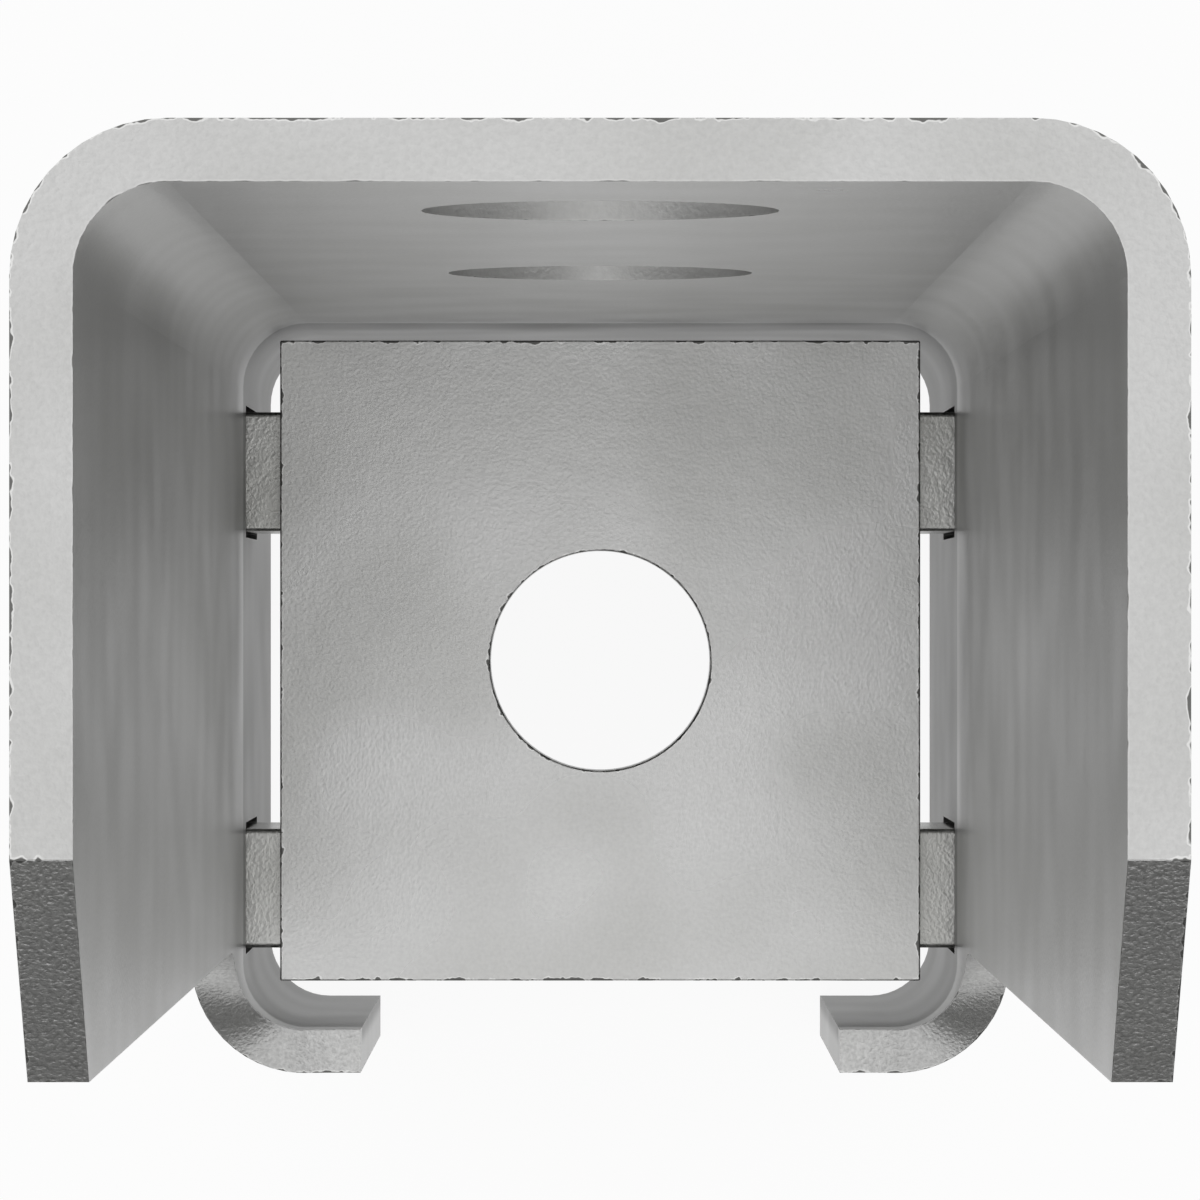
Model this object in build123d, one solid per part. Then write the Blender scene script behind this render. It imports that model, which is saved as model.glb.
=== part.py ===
from build123d import *
import math
import os

# Bolted hold down bracket: a channel folded from one steel sheet, two seat
# bars through its flanges, and a bearing plate that lies on the bars.
#
# Millimetres. X runs across the channel, the back faces +Y, the open front
# faces -Y, and the foot of the channel stands on Z = 0.
# A place called "forward" is measured from the outer face of the back
# towards the open front.

# The folded sheet
SHEET = 3.416                 # 10 gauge steel sheet
BEND_INSIDE = 5.08            # inside radius of all four lengthwise bends
WIDTH = 63.5                  # across the outer faces of the flanges
DEPTH = 62.7                  # from the outer face of the back to the lips
HEIGHT = 238.1                # from the foot to the top end
TOP_CORNER = 12.7             # 45 degree corner cut off each flange at the top
FLANGE_FLAT = 1.6             # flat beyond the flange's front edge, up to the front bend
LIP_FLAT = 4.35               # flat part of each lip, beyond the front bend
LIP_HEIGHT = 52.4             # top of the lips above the foot
BLANK_RADIUS = 15.875         # round in the blank between flange edge and lip top

# The bolt holes in the back
BOLT_HOLE = 20.64             # diameter, for a 19 mm bolt
TOP_HOLE_DROP = 28.6          # upper hole's centre below the top end
BOLT_SPACING = 76.2           # between the centres of the two holes

# The seat bars and the slots that carry them
BAR_WIDTH = 9.525
BAR_HEIGHT = 19.05
BAR_EDGE = 0.4                # rounding of the rolled bar's long edges
SLOT_SILL = 25.4              # lower edge of the slots above the foot
SLOT_SIDE_CLEARANCE = 0.5
SLOT_TOP_CLEARANCE = 0.3
SLOT_CORNER = 0.5
REAR_BAR_INSET = 1.85         # flat left between the back's bend and the rear bar
FRONT_BAR_INSET = 1.0         # flat left between the front bend and the front bar

# The bearing plate
PLATE_THICK = 4.7625
PLATE_SIDE_GAP = 2.934        # to each flange
PLATE_REAR_GAP = 1.384        # to the back
PLATE_FRONT_GAP = 3.684       # to the lips
PLATE_EDGE = 0.15             # rounding of the sheared edges
ANCHOR_HOLE = 17.4625         # diameter, for a 16 mm anchor rod

# How far a cutting solid reaches past what it cuts
CUT_PAST = 1.0

bend_outside = BEND_INSIDE + SHEET
bend_middle = BEND_INSIDE + SHEET / 2
bend_axis_x = WIDTH / 2 - bend_outside
front_bend_y = -DEPTH / 2 + bend_outside
flange_edge = DEPTH - bend_outside - FLANGE_FLAT
bend_run = bend_middle * math.pi / 2
bar_top = SLOT_SILL + BAR_HEIGHT
rear_bar_forward = bend_outside + REAR_BAR_INSET + BAR_WIDTH / 2
front_bar_forward = DEPTH - bend_outside - FRONT_BAR_INSET - BAR_WIDTH / 2


def at_forward(distance):
    """Y of a place that lies this far forward of the back's outer face."""
    return DEPTH / 2 - distance


def edge_height(run):
    """Height of the blank's front edge, this far along the sheet past the flange edge."""
    if run >= BLANK_RADIUS:
        return LIP_HEIGHT
    across = BLANK_RADIUS - run
    return LIP_HEIGHT + BLANK_RADIUS - math.sqrt(BLANK_RADIUS**2 - across**2)


def folded_section():
    """The channel's section: a rounded tube wall, open between the lips."""
    outer = RectangleRounded(WIDTH, DEPTH, bend_outside)
    inner = RectangleRounded(WIDTH - 2 * SHEET, DEPTH - 2 * SHEET, BEND_INSIDE)
    gap = WIDTH - 2 * (bend_outside + LIP_FLAT)
    mouth = Pos(0, -DEPTH / 2) * Rectangle(gap, 2 * (SHEET + CUT_PAST))
    return outer - inner - mouth


def flange_trim():
    """What the blank lacks in front of the flanges, up to the front bend."""
    corner_start = flange_edge - TOP_CORNER
    past_top = HEIGHT + CUT_PAST
    bend_start = flange_edge + FLANGE_FLAT
    half_flat = FLANGE_FLAT / 2
    outline = Polyline(
        (at_forward(bend_start), edge_height(FLANGE_FLAT)),
        (at_forward(bend_start), past_top),
        (at_forward(corner_start - CUT_PAST), past_top),
        (at_forward(flange_edge), HEIGHT - TOP_CORNER),
        (at_forward(flange_edge), edge_height(0)),
    )
    round_in = ThreePointArc(
        (at_forward(flange_edge), edge_height(0)),
        (at_forward(flange_edge + half_flat), edge_height(half_flat)),
        (at_forward(bend_start), edge_height(FLANGE_FLAT)),
    )
    profile = Plane.YZ * make_face(outline + round_in)
    return extrude(profile, amount=WIDTH, both=True)


def edge_section(run):
    """A section square to the sheet, from the blank's front edge to past the top end.

    The run is measured along the middle of the sheet from the flange edge, round
    the front bend and along the lip.
    """
    past_flat = run - FLANGE_FLAT
    turn = min(max(past_flat / bend_middle, 0), math.pi / 2)
    past_bend = max(past_flat - bend_run, 0)
    outward = Vector(math.cos(turn), -math.sin(turn), 0)
    axis = Vector(bend_axis_x - past_bend, front_bend_y, 0)
    plane = Plane(origin=axis, x_dir=outward, z_dir=outward.cross(Vector(0, 0, 1)))
    low = edge_height(run)
    corner = Pos(BEND_INSIDE - CUT_PAST, low)
    size = (SHEET + 2 * CUT_PAST, HEIGHT + CUT_PAST - low)
    return plane * corner * Rectangle(*size, align=(Align.MIN, Align.MIN))


def edge_trim(first_run, last_run, steps):
    """What the blank lacks over one stretch of the bend or the lip, on both sides."""
    length = last_run - first_run
    runs = [first_run + length * step / steps for step in range(steps + 1)]
    right = loft([edge_section(run) for run in runs])
    return [right, mirror(right, about=Plane.YZ)]


def bolt_holes():
    """The two holes in the back."""
    holes = []
    for drop in (TOP_HOLE_DROP, TOP_HOLE_DROP + BOLT_SPACING):
        centre = Pos(0, at_forward(SHEET / 2), HEIGHT - drop)
        reach = SHEET + 2 * CUT_PAST
        holes.append(centre * Rot(90, 0, 0) * Cylinder(BOLT_HOLE / 2, reach))
    return holes


def bar_slot(forward):
    """The slot for one seat bar, through both flanges."""
    width = BAR_WIDTH + 2 * SLOT_SIDE_CLEARANCE
    height = BAR_HEIGHT + SLOT_TOP_CLEARANCE
    window = RectangleRounded(width, height, SLOT_CORNER)
    centre = Pos(at_forward(forward), SLOT_SILL + height / 2)
    return extrude(Plane.YZ * centre * window, amount=WIDTH, both=True)


def body_channel():
    """The channel, folded from one sheet."""
    body = extrude(folded_section(), amount=HEIGHT)
    body -= flange_trim()
    body -= edge_trim(FLANGE_FLAT, FLANGE_FLAT + bend_run, 6)
    lip_start = FLANGE_FLAT + bend_run
    body -= edge_trim(lip_start, lip_start + LIP_FLAT + CUT_PAST, 3)
    body -= bolt_holes()
    body -= bar_slot(rear_bar_forward)
    body -= bar_slot(front_bar_forward)
    return body


def seat_bar(forward):
    """One flat bar on edge, flush with the outer faces of the flanges."""
    section = RectangleRounded(BAR_WIDTH, BAR_HEIGHT, BAR_EDGE)
    centre = Pos(at_forward(forward), SLOT_SILL + BAR_HEIGHT / 2)
    return extrude(Plane.YZ * centre * section, amount=WIDTH / 2, both=True)


def bearing_plate():
    """The square plate under the anchor nut."""
    across = WIDTH - 2 * SHEET - 2 * PLATE_SIDE_GAP
    deep = DEPTH - 2 * SHEET - PLATE_REAR_GAP - PLATE_FRONT_GAP
    forward = SHEET + PLATE_REAR_GAP + deep / 2
    plate = Pos(0, at_forward(forward), bar_top + PLATE_THICK / 2) * Box(across, deep, PLATE_THICK)
    plate -= Pos(0, at_forward(forward), bar_top) * Cylinder(ANCHOR_HOLE / 2, 4 * PLATE_THICK)
    return fillet(plate.edges(), PLATE_EDGE)


pieces = {
    "body_channel": body_channel(),
    "rear_seat_bar": seat_bar(rear_bar_forward),
    "front_seat_bar": seat_bar(front_bar_forward),
    "bearing_plate": bearing_plate(),
}

os.makedirs("parts", exist_ok=True)
for name, piece in pieces.items():
    export_step(piece, f"parts/{name}.step")
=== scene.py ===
"""The looks of a bolted hold down: galvanised finishes, floor, light and camera.

Everything is in metres, in the part's own frame: X runs across the channel, the back
faces +Y, the open front faces -Y, and the foot of the channel stands on Z = 0. The
finishes, and the shapes that place them, are in millimetres.
"""

import logging
import math
from abc import ABC, abstractmethod
from collections.abc import Mapping
from dataclasses import dataclass
from enum import Enum
from typing import Any, Union

import bpy
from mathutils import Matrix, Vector


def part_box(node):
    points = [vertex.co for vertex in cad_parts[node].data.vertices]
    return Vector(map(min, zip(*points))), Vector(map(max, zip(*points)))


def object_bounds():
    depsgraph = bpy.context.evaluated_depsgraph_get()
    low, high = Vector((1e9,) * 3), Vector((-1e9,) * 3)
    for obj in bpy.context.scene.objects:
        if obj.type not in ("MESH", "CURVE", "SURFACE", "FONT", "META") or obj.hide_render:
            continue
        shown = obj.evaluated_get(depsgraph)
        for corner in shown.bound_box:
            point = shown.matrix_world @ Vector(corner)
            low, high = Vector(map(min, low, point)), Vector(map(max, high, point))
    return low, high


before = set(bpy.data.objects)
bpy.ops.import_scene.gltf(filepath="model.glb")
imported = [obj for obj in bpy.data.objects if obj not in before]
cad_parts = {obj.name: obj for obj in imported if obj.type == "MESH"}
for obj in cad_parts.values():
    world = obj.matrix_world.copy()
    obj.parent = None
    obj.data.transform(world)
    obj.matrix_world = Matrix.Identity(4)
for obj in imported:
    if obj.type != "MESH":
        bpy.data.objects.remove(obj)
cad_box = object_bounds()

MILLIMETRES = 1000.0                # millimetres in a metre
MIDDLE = 0.5                        # the middle of the noise's range, which is 0 to 1
SLANT = math.sqrt(0.5)              # cosine of 45 degrees
WHITE = (1.0, 1.0, 1.0)
Colour = tuple[float, float, float]

log = logging.getLogger("hold_down")


class Ray(Enum):
    """The kinds of ray that the stage's materials tell apart."""

    CAMERA = "Is Camera Ray"
    GLOSSY = "Is Glossy Ray"
    TRANSMISSION = "Is Transmission Ray"


class Field:
    """A value that changes over a surface, written in formulas like a number."""

    def __init__(self, graph: "Graph", socket: bpy.types.NodeSocket) -> None:
        """Wrap an output socket of a graph's node."""
        self.graph = graph
        self.socket = socket

    def __add__(self, other: "Value") -> "Field":
        """Return self + other."""
        return self.graph.maths("ADD", self, other)

    def __radd__(self, other: "Value") -> "Field":
        """Return other + self."""
        return self.graph.maths("ADD", other, self)

    def __sub__(self, other: "Value") -> "Field":
        """Return self - other."""
        return self.graph.maths("SUBTRACT", self, other)

    def __rsub__(self, other: "Value") -> "Field":
        """Return other - self."""
        return self.graph.maths("SUBTRACT", other, self)

    def __mul__(self, other: "Value") -> "Field":
        """Return self * other."""
        return self.graph.maths("MULTIPLY", self, other)

    def __rmul__(self, other: "Value") -> "Field":
        """Return other * self."""
        return self.graph.maths("MULTIPLY", other, self)

    def __neg__(self) -> "Field":
        """Return the value with its sign changed."""
        return self.graph.maths("MULTIPLY", self, -1)

    def __abs__(self) -> "Field":
        """Return the absolute value."""
        return self.graph.maths("ABSOLUTE", self)


Value = Union[Field, float]


class Graph:
    """The node tree of one material or of the world."""

    def __init__(self, tree: bpy.types.NodeTree) -> None:
        """Take over a tree and empty it."""
        self.tree = tree
        tree.nodes.clear()

    def node(
        self,
        kind: str,
        settings: Mapping[str, Any] | None = None,
        sockets: Mapping[int | str, Any] | None = None,
    ) -> bpy.types.Node:
        """Add a node.

        Args:
            kind: The node's type.
            settings: Its settings, set before the sockets.
            sockets: The value or link of each socket, by the socket's name or number.

        Returns:
            The new node.
        """
        made = self.tree.nodes.new(kind)
        for name, setting in (settings or {}).items():
            setattr(made, name, setting)
        for name, value in (sockets or {}).items():
            if isinstance(value, Field):
                self.tree.links.new(value.socket, made.inputs[name])
            else:
                made.inputs[name].default_value = value
        return made

    def field(
        self,
        kind: str,
        settings: Mapping[str, Any] | None = None,
        sockets: Mapping[int | str, Any] | None = None,
        output: int | str = 0,
    ) -> Field:
        """Add a node and return one of its outputs.

        Args:
            kind: The node's type.
            settings: Its settings, as in node.
            sockets: Its sockets, as in node.
            output: The name or number of the output.

        Returns:
            That output as a field.
        """
        return Field(self, self.node(kind, settings, sockets).outputs[output])

    def maths(self, operation: str, *values: Value) -> Field:
        """Add a Math node on one or more values."""
        return self.field("ShaderNodeMath", {"operation": operation}, dict(enumerate(values)))

    def step(self, value: Value, low: float, high: float) -> Field:
        """Rise smoothly from 0 at low to 1 at high."""
        settings = {"interpolation_type": "SMOOTHSTEP"}
        sockets = {"Value": value, "From Min": low, "From Max": high}
        return self.field("ShaderNodeMapRange", settings, sockets)

    def noise(self, place: Field, size: float, detail: float = 0.0) -> Field:
        """Return cloudy noise from 0 to 1.

        Args:
            place: The point, in millimetres.
            size: The size of its features, in millimetres.
            detail: How many finer layers it has.

        Returns:
            The noise.
        """
        sockets = {"Vector": place, "Scale": 1 / size, "Detail": detail}
        return self.field("ShaderNodeTexNoise", None, sockets)

    def length(self, first: Field, second: Field) -> Field:
        """Return the length of a line that runs this far each way."""
        return self.maths("SQRT", first * first + second * second)

    def least(self, values: list[Field]) -> Field:
        """Return the least of some values."""
        found = values[0]
        for value in values[1:]:
            found = self.maths("MINIMUM", found, value)
        return found

    def scale(self, vector: Field, factor: Value) -> Field:
        """Return a colour or a point times a factor."""
        sockets = {"Vector": vector, "Scale": factor}
        return self.field("ShaderNodeVectorMath", {"operation": "SCALE"}, sockets)

    def blend(self, amount: Value, first: Colour | Field, second: Colour | Field) -> Field:
        """Mix two colours, from the first at 0 to the second at 1."""
        factor, colour_a, colour_b, mixed = 0, 6, 7, 2
        ends = [end if isinstance(end, Field) else (*end, 1.0) for end in (first, second)]
        settings = {"data_type": "RGBA", "clamp_factor": True}
        sockets = {factor: amount, colour_a: ends[0], colour_b: ends[1]}
        return self.field("ShaderNodeMix", settings, sockets, mixed)

    def seen_by(self, ray: Ray) -> Field:
        """Return 1 for rays of this kind and 0 for the others."""
        return self.field("ShaderNodeLightPath", output=ray.value)


@dataclass(frozen=True)
class Surface:
    """What a finish needs to know of the piece it covers, as fields in millimetres."""

    place: Field
    edge: Field          # distance to the nearest edge
    worn: Value          # how far the edges are nicked, 1 for the most
    torn: Value          # 1 on the coarse faces of the blank's front edge, 0 elsewhere
    painted_shade_mask: Value     # 1 on the inner faces below the bearing plate, where shade is painted into the colour


@dataclass(frozen=True)
class Galvanised:
    """Hot dip galvanised steel: a pebbled zinc skin, nicked along the edges, with a painted
    highlight round each nick and painted shade where a piece asks for it.

    Sizes are in millimetres.
    """

    zinc: Colour = (0.545, 0.545, 0.54)
    dull_zinc: Colour = (0.52, 0.52, 0.512)
    bare_steel: Colour = (0.1, 0.1, 0.095)
    # painted highlight: the bright colour of the rims round the nicks
    painted_highlight: Colour = (0.85, 0.85, 0.84)
    grazing_tint: Colour = (0.92, 0.92, 0.92)
    metallic: float = 0.85
    roughness: float = 0.26
    cloud_roughness: float = 0.1    # added where the zinc is clouded
    nick_roughness: float = 0.15    # added in the nicks
    # added on the inside below the plate, where shade is painted
    shade_roughness: float = 0.08
    cloud_size: float = 9.0
    cloud_levels: tuple[float, float] = (0.3, 0.7)     # noise of all dull and of all bright zinc
    pebble_size: float = 0.28
    pebble_detail: float = 2.0
    pebble_depth: float = 0.022
    torn_depth: float = 0.07        # the pebbles' depth on the torn faces
    grain: float = 0.2              # how much the pebbles vary the colour
    torn_grain: float = 1.1
    ripple_size: float = 1.6
    ripple_depth: float = 0.02
    painted_shade_depth: float = 0.45           # how much the painted shade darkens the inside below the plate
    nick_size: float = 0.95
    nick_detail: float = 2.0
    nick_level: float = 0.44        # the noise above this is nicked
    nick_reach: float = 0.85        # how far a nick would reach at the noise's top
    nick_blur: float = 0.05         # width of a nick's outline
    nick_cover: float = 0.85        # how much of a nick is bare
    rim: float = 0.09               # width of the painted highlight rim round a nick
    rim_fade: float = 0.03          # a rim ends where a nick would reach less than this
    rim_cover: float = 0.55

    def material(self, name: str, shape: "Shape") -> bpy.types.Material:
        """Build the finish for one piece.

        Args:
            name: The name of the material.
            shape: The piece, which knows where its edges are.

        Returns:
            The new material.
        """
        made = bpy.data.materials.new(name)
        made.use_nodes = True
        graph = Graph(made.node_tree)
        surface = shape.surface(graph)
        clouds = graph.noise(surface.place, self.cloud_size)
        pebbles = graph.noise(surface.place, self.pebble_size, self.pebble_detail)
        nicks, rims = self._nicks_and_highlights(graph, surface)
        zinc = self._zinc_colour(graph, surface, clouds, pebbles)
        # painted highlight on the rims round the nicks
        highlighted = graph.blend(rims * self.rim_cover, zinc, self.painted_highlight)
        skin = self._skin(graph, surface, pebbles)
        bumped = {"Strength": 1.0, "Distance": 1 / MILLIMETRES, "Height": skin}
        sockets = {
            "Base Color": graph.blend(nicks * self.nick_cover, highlighted, self.bare_steel),
            "Metallic": self.metallic,
            "Specular Tint": (*self.grazing_tint, 1.0),
            "Roughness": self._roughness(surface, clouds, nicks),
            "Normal": graph.field("ShaderNodeBump", None, bumped),
        }
        shader = graph.field("ShaderNodeBsdfPrincipled", None, sockets)
        graph.node("ShaderNodeOutputMaterial", None, {"Surface": shader})
        return made

    def _nicks_and_highlights(self, graph: Graph, surface: Surface) -> tuple[Field, Field]:
        """Return 1 in the nicks along the edges, and 1 in the rims round them, where a highlight is
        painted.
        """
        runs = graph.noise(surface.place, self.nick_size, self.nick_detail)
        reach = (runs - self.nick_level) * self.nick_reach * surface.worn
        depth = reach - surface.edge
        nicks = graph.step(depth, 0.0, self.nick_blur)
        rims = graph.step(depth + self.rim, 0.0, self.nick_blur) * (1 - nicks)
        return nicks, rims * graph.step(reach, -self.rim_fade, self.rim_fade) * surface.worn

    def _zinc_colour(
        self, graph: Graph, surface: Surface, clouds: Field, pebbles: Field
    ) -> Field:
        """Return the colour of the zinc, with its clouds, grain and painted shade below the plate.

        Args:
            graph: The material's graph.
            surface: The piece's fields.
            clouds: Broad clouds over the zinc.
            pebbles: The pebbles of its skin.

        Returns:
            The colour.
        """
        cloudy = graph.blend(graph.step(clouds, *self.cloud_levels), self.dull_zinc, self.zinc)
        grain = self.grain + (self.torn_grain - self.grain) * surface.torn
        grainy = 1 + (pebbles - MIDDLE) * grain
        # painted shade: the zinc is darkened on the inside below the bearing plate's top
        return graph.scale(cloudy, grainy * (1 - self.painted_shade_depth * surface.painted_shade_mask))

    def _roughness(self, surface: Surface, clouds: Field, nicks: Field) -> Field:
        """Return the roughness, more in the nicks and in the painted shade below the plate."""
        cloudy = self.roughness + self.cloud_roughness * (1 - clouds)
        return cloudy + self.nick_roughness * nicks + self.shade_roughness * surface.painted_shade_mask

    def _skin(self, graph: Graph, surface: Surface, pebbles: Field) -> Field:
        """Return the height of the zinc skin in millimetres: its pebbles and ripples."""
        ripples = graph.noise(surface.place, self.ripple_size)
        deep = self.pebble_depth + (self.torn_depth - self.pebble_depth) * surface.torn
        return pebbles * deep + ripples * self.ripple_depth


class Shape(ABC):
    """A piece whose edges can be worked out from its sizes."""

    @abstractmethod
    def surface(self, graph: Graph) -> Surface:
        """Return the piece's fields in one graph."""


def place_in_millimetres(graph: Graph) -> tuple[Field, list[Field]]:
    """Return the point on the surface, whole and as its three coordinates."""
    point = graph.field("ShaderNodeTexCoord", output="Object")
    place = graph.scale(point, MILLIMETRES)
    apart = graph.node("ShaderNodeSeparateXYZ", None, {"Vector": place})
    return place, [Field(graph, output) for output in apart.outputs]


@dataclass(frozen=True)
class Block(Shape):
    """A rectangular piece, with or without a round hole down through its middle."""

    node: str
    hole: float = 0.0               # diameter

    def surface(self, graph: Graph) -> Surface:
        """Return the piece's fields in one graph."""
        place, axes = place_in_millimetres(graph)
        low, high = (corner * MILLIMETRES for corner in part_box(self.node))
        middle = (low + high) / 2
        from_middle = [axis - value for axis, value in zip(axes, middle)]
        past = [abs(gap) - value for gap, value in zip(from_middle, (high - low) / 2)]
        lines = [graph.length(past[0], past[1]), graph.length(past[0], past[2])]
        lines.append(graph.length(past[1], past[2]))
        if self.hole:
            bore = graph.length(from_middle[0], from_middle[1]) - self.hole / 2
            lines.append(graph.length(bore, past[2]))
        return Surface(place, graph.least(lines), 1.0, 0.0, 0.0)


@dataclass(frozen=True)
class FoldedSheet(Shape):
    """The channel's folded sheet, in millimetres, with its cuts, holes and slots."""

    sheet: float = 3.416
    bend_inside: float = 5.08
    top_corner: float = 12.7
    flange_flat: float = 1.6
    lip_flat: float = 4.35
    lip_height: float = 52.4
    blank_radius: float = 15.875
    bolt_hole: float = 20.64
    top_hole_drop: float = 28.6
    bolt_spacing: float = 76.2
    slot_gap: float = 0.5
    slots: tuple[str, str] = ("rear_seat_bar", "front_seat_bar")
    inner_wear: float = 0.3         # how far the edges of the inner faces are nicked
    wear_depths: tuple[float, float] = (0.6, 0.4)      # shares of the sheet between the two wears
    blank_torn: float = 0.5         # how coarse the blank's round is beside the ramp
    cut_depths: tuple[float, float] = (0.01, 0.06)     # a cut face starts this deep in the sheet
    face_reach: tuple[float, float] = (0.02, 0.06)     # and lies this close to the cut
    inner_depths: tuple[float, float] = (0.5, 0.9)     # shares of the sheet where inside begins
    shade_top: float = 49.0       # painted shade darkens the inside below this height, the bearing plate's top
    shade_blur: float = 1.0

    @property
    def bend(self) -> float:
        """The outside radius of the bends."""
        return self.bend_inside + self.sheet

    def surface(self, graph: Graph) -> Surface:
        """Return the piece's fields in one graph."""
        place, (x, y, z) = place_in_millimetres(graph)
        size = (cad_box[1] - cad_box[0]) * MILLIMETRES
        across = abs(x)
        wall = self._wall(graph, across, y, size)
        skin = abs(wall + self.sheet / 2) - self.sheet / 2
        front = -y + (self.flange_flat + self.bend - size.y / 2)
        top = z - size.z
        ramp = (front + top + self.top_corner) * SLANT
        blank = self._blank_edge(graph, across, front, z, size)
        lip_end = self._lip_end(graph, across, front, size)
        cuts = [top, z, ramp, blank, lip_end, *self._holes(graph, x, top), *self._slots(graph, y, z)]
        lines = [graph.length(skin, cut) for cut in cuts]
        lines += [graph.length(ramp, top), graph.length(ramp, blank)]
        torn = self._torn(graph, skin, ramp, blank)
        worn = self._worn(graph, wall)
        # the last field marks the inside below the bearing plate for painted shade
        return Surface(place, graph.least(lines), worn, torn, self._shade_below_plate(graph, wall, z))

    def _wall(self, graph: Graph, across: Field, y: Field, size: Vector) -> Field:
        """Return the distance outside the channel's outer face, below 0 in the sheet."""
        over = [across - (size.x / 2 - self.bend), abs(y) - (size.y / 2 - self.bend)]
        outside = [graph.maths("MAXIMUM", part, 0.0) for part in over]
        inside = graph.maths("MINIMUM", graph.maths("MAXIMUM", *over), 0.0)
        return graph.length(*outside) + inside - self.bend

    def _blank_edge(
        self, graph: Graph, across: Field, front: Field, z: Field, size: Vector
    ) -> Field:
        """Return the distance to the blank's front edge: flange edge, round and lip top.

        Args:
            graph: The material's graph.
            across: The distance from the channel's middle plane.
            front: How far the point lies in front of the flange's edge.
            z: The height.
            size: The channel's overall size.

        Returns:
            The distance in the sheet, measured round the front bend.
        """
        side = across - (size.x / 2 - self.bend)
        ahead = front - self.flange_flat
        beyond = [graph.maths("MAXIMUM", part, 0.0) for part in (ahead, side)]
        turn = graph.maths("ARCTAN2", *beyond)
        on_lip = graph.maths("MAXIMUM", -side, 0.0) * graph.maths("GREATER_THAN", ahead, 0.0)
        bend_middle = self.bend_inside + self.sheet / 2
        run = graph.maths("MINIMUM", front, self.flange_flat) + turn * bend_middle + on_lip
        left = graph.maths("MINIMUM", run - self.blank_radius, 0.0)
        below = graph.maths("MINIMUM", z - (self.lip_height + self.blank_radius), 0.0)
        return self.blank_radius - graph.length(left, below)

    def _lip_end(self, graph: Graph, across: Field, front: Field, size: Vector) -> Field:
        """Return the distance to the upright ends of the lips."""
        end = size.x / 2 - self.bend - self.lip_flat
        behind = graph.maths("MAXIMUM", self.flange_flat - front, 0.0)
        return graph.length(across - end, behind)

    def _holes(self, graph: Graph, x: Field, top: Field) -> list[Field]:
        """Return the distance to the rim of each bolt hole."""
        drops = (self.top_hole_drop, self.top_hole_drop + self.bolt_spacing)
        return [graph.length(x, top + drop) - self.bolt_hole / 2 for drop in drops]

    def _slots(self, graph: Graph, y: Field, z: Field) -> list[Field]:
        """Return the distance to the sides of each seat bar's slot."""
        rims = []
        for node in self.slots:
            low, high = (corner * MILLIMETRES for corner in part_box(node))
            middle, half = (low + high) / 2, (high - low) / 2
            beside = abs(y - middle.y) - (half.y + self.slot_gap)
            over = abs(z - middle.z) - half.z
            rims.append(graph.maths("MAXIMUM", beside, over))
        return rims

    def _torn(self, graph: Graph, skin: Field, ramp: Field, blank: Field) -> Field:
        """Return how coarse the face is: cut faces on the ramp and the blank's edge."""
        cut_face = graph.step(-skin, *self.cut_depths)
        on_ramp = 1 - graph.step(abs(ramp), *self.face_reach)
        on_blank = 1 - graph.step(abs(blank), *self.face_reach)
        return cut_face * graph.maths("MAXIMUM", on_ramp, on_blank * self.blank_torn)

    def _worn(self, graph: Graph, wall: Field) -> Field:
        """Return how far the edges are nicked, less on the inner faces."""
        inner, outer = (-share * self.sheet for share in self.wear_depths)
        return self.inner_wear + (1 - self.inner_wear) * graph.step(wall, inner, outer)

    def _shade_below_plate(self, graph: Graph, wall: Field, z: Field) -> Field:
        """Return 1 on the inner faces below the bearing plate's top, where shade is painted."""
        inner = graph.step(-wall, *(share * self.sheet for share in self.inner_depths))
        blur = self.shade_blur
        return inner * (1 - graph.step(z, self.shade_top - blur, self.shade_top + blur))


@dataclass
class FoldedChannel:
    """The channel, folded from one sheet: back, two flanges and two lips."""

    node: str = "body_channel"
    shape: Shape = FoldedSheet()
    finish: Galvanised = Galvanised()

    def dress(self) -> None:
        """Give the channel its finish."""
        cover(self.node, self.finish.material(self.node, self.shape))


@dataclass
class SeatBars:
    """The two flat bars that carry the plate."""

    nodes: tuple[str, str] = ("rear_seat_bar", "front_seat_bar")
    finish: Galvanised = Galvanised(
        zinc=(0.53, 0.53, 0.515), dull_zinc=(0.50, 0.50, 0.48), roughness=0.2
    )

    def dress(self) -> None:
        """Give each bar its finish."""
        for node in self.nodes:
            cover(node, self.finish.material(node, Block(node)))


@dataclass
class BearingPlate:
    """The square plate under the anchor nut."""

    node: str = "bearing_plate"
    anchor_hole: float = 17.4625    # diameter in millimetres
    finish: Galvanised = Galvanised(
        zinc=(0.57, 0.57, 0.565),
        dull_zinc=(0.545, 0.545, 0.535),
        roughness=0.23,
        pebble_depth=0.014,
        ripple_depth=0.01,
        nick_level=0.41,
        nick_reach=1.1,
    )

    def dress(self) -> None:
        """Give the plate its finish."""
        shape = Block(self.node, self.anchor_hole)
        cover(self.node, self.finish.material(self.node, shape))


def cover(node: str, material: bpy.types.Material) -> None:
    """Put a material on every slot of a node of the frame."""
    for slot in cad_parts[node].material_slots:
        slot.material = material


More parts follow.
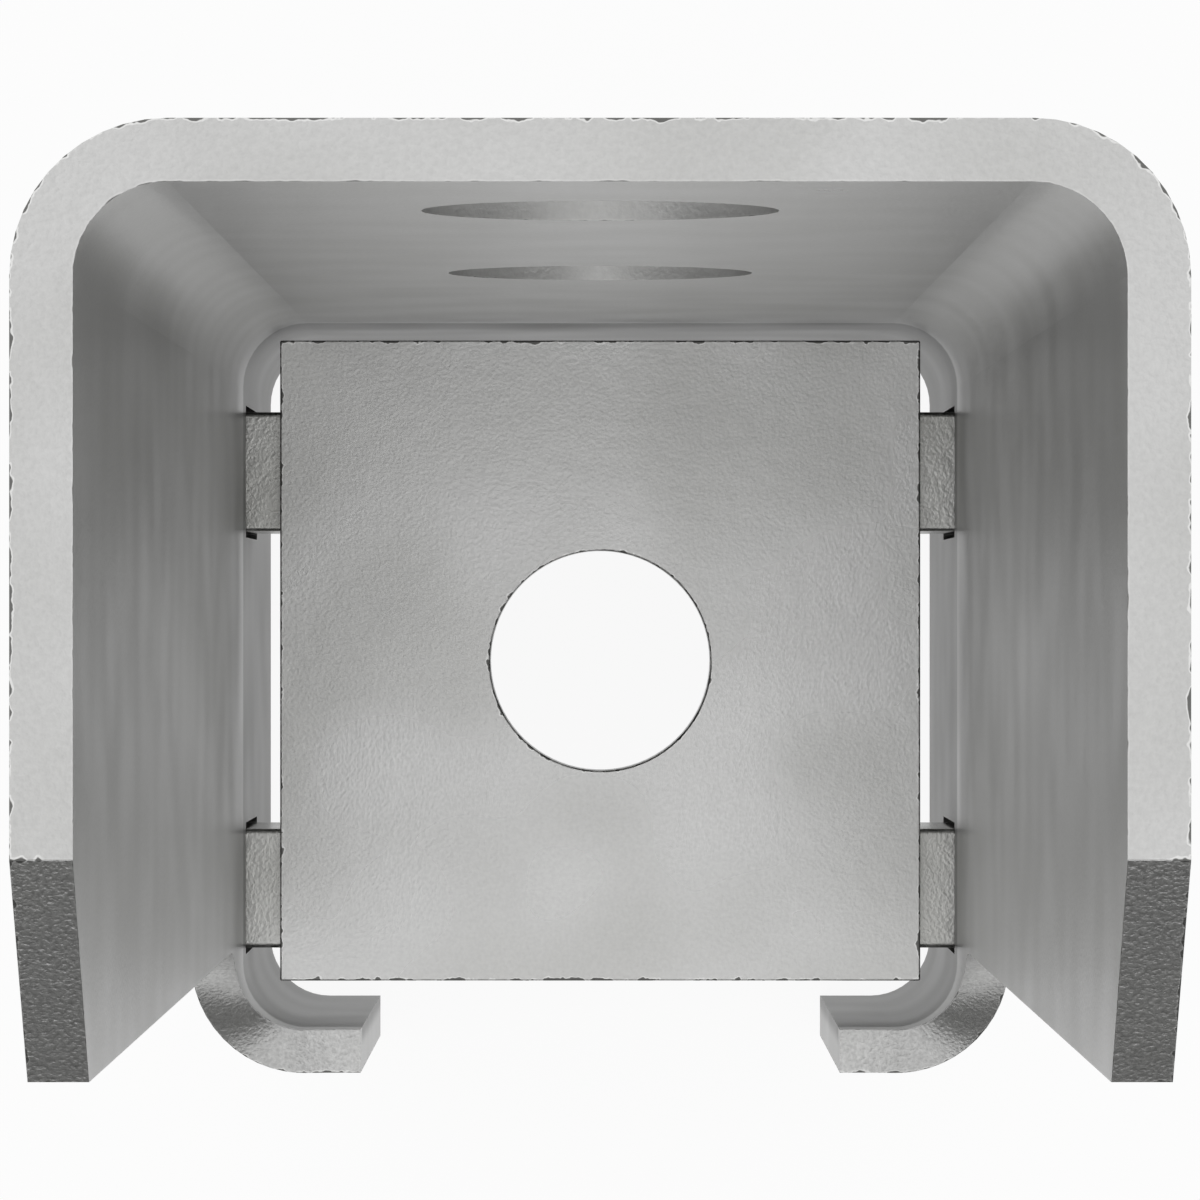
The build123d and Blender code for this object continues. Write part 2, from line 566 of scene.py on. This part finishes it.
@dataclass
class Studio:
    """Pale floor, soft light and the camera, set for a look straight down the channel."""

    floor_size: float = 6.0
    floor_colour: Colour = (0.82, 0.82, 0.82)
    floor_share: float = 0.93       # how far the floor shows its own white in place of light
    mirrored_share: float = 0.65    # the same, where the metal mirrors the floor
    sky_low: float = 0.45
    sky_high: float = 0.95
    sky_rise: tuple[float, float] = (0.05, 0.75)       # directions' heights between the two
    lamp_height: float = 2.6
    lamp_size: float = 1.0
    lamp_power: float = 0.8
    card_size: tuple[float, float] = (0.7, 0.3)
    card_distance: float = 0.26
    card_colour: Colour = (0.11, 0.11, 0.105)
    eye_height: float = 0.634       # the camera stands 396 mm above the channel's top end
    eye_forward: float = 0.00437    # towards the back from the channel's middle
    lens: float = 221.1
    nearest: float = 0.01           # the camera sees nothing closer
    shift: tuple[float, float] = (-0.00017, 0.01667)

    def build(self) -> None:
        """Set up the floor, the light and the camera."""
        self.build_floor()
        self.build_sky()
        self.build_lamp()
        self.build_card()
        self.build_camera()
        bpy.context.scene.view_settings.view_transform = "Standard"

    def build_floor(self) -> None:
        """Lay a white floor that keeps the part's shadow."""
        half = self.floor_size / 2
        corners = [(-half, -half, 0), (half, -half, 0), (half, half, 0), (-half, half, 0)]
        floor = flat_piece("floor", corners)
        made = bpy.data.materials.new("pale_floor")
        made.use_nodes = True
        graph = Graph(made.node_tree)
        direct = graph.maths("MAXIMUM", graph.seen_by(Ray.CAMERA), graph.seen_by(Ray.TRANSMISSION))
        mirrored = graph.seen_by(Ray.GLOSSY)
        shown = direct * self.floor_share + mirrored * self.mirrored_share
        colour = {"Color": (*self.floor_colour, 1.0)}
        matt = graph.field("ShaderNodeBsdfDiffuse", None, colour)
        white = graph.field("ShaderNodeEmission", None, {"Strength": 1.0})
        mixed = {0: shown, 1: matt, 2: white}
        surface = graph.field("ShaderNodeMixShader", None, mixed)
        graph.node("ShaderNodeOutputMaterial", None, {"Surface": surface})
        floor.data.materials.append(made)

    def build_sky(self) -> None:
        """Surround the part with soft light, stronger from above, behind a white backdrop."""
        world = bpy.data.worlds.new("studio")
        world.use_nodes = True
        graph = Graph(world.node_tree)
        direction = graph.field("ShaderNodeTexCoord", output="Generated")
        height = graph.field("ShaderNodeSeparateXYZ", None, {"Vector": direction}, "Z")
        low = (self.sky_low,) * 3
        high = (self.sky_high,) * 3
        light = graph.blend(graph.step(height, *self.sky_rise), low, high)
        colour = graph.blend(graph.seen_by(Ray.CAMERA), light, WHITE)
        sky = graph.field("ShaderNodeBackground", None, {"Color": colour})
        graph.node("ShaderNodeOutputWorld", None, {"Surface": sky})
        bpy.context.scene.world = world

    def build_lamp(self) -> None:
        """Hang one large soft lamp above the part."""
        lamp = bpy.data.lights.new("overhead", "AREA")
        lamp.shape = "DISK"
        lamp.size = self.lamp_size
        lamp.energy = self.lamp_power
        piece = bpy.data.objects.new("overhead", lamp)
        piece.location = (0, 0, self.lamp_height)
        piece.visible_camera = False
        bpy.context.collection.objects.link(piece)

    def build_card(self) -> None:
        """Stand a dark card before the open front, for the metal's reflections only."""
        half = self.card_size[0] / 2
        top = self.card_size[1]
        y = cad_box[0].y - self.card_distance
        corners = [(-half, y, 0), (half, y, 0), (half, y, top), (-half, y, top)]
        card = flat_piece("dark_card", corners)
        made = bpy.data.materials.new("dark_card")
        made.use_nodes = True
        graph = Graph(made.node_tree)
        matt = graph.field("ShaderNodeBsdfDiffuse", None, {"Color": (*self.card_colour, 1.0)})
        graph.node("ShaderNodeOutputMaterial", None, {"Surface": matt})
        card.data.materials.append(made)
        card.visible_camera = False
        card.visible_diffuse = False
        card.visible_shadow = False

    def build_camera(self) -> None:
        """Look straight down the channel from above its top end."""
        camera = bpy.data.cameras.new("camera")
        camera.lens = self.lens
        camera.shift_x, camera.shift_y = self.shift
        camera.clip_start = self.nearest
        eye = bpy.data.objects.new("camera", camera)
        eye.location = (0, self.eye_forward, self.eye_height)
        bpy.context.collection.objects.link(eye)
        bpy.context.scene.camera = eye


def flat_piece(name: str, corners: list[tuple[float, float, float]]) -> bpy.types.Object:
    """Make one flat face from its corners.

    Args:
        name: The name of the piece.
        corners: Its corners, in order.

    Returns:
        The new object, linked to the scene.
    """
    mesh = bpy.data.meshes.new(name)
    mesh.from_pydata(corners, [], [tuple(range(len(corners)))])
    piece = bpy.data.objects.new(name, mesh)
    bpy.context.collection.objects.link(piece)
    return piece


def main() -> None:
    """Dress the part and set up the studio."""
    logging.basicConfig(level=logging.INFO, format="%(message)s")
    for piece in (FoldedChannel(), SeatBars(), BearingPlate()):
        piece.dress()
        log.info("dressed %s", type(piece).__name__)
    Studio().build()
    log.info("studio ready")


if __name__ == "__main__":
    main()
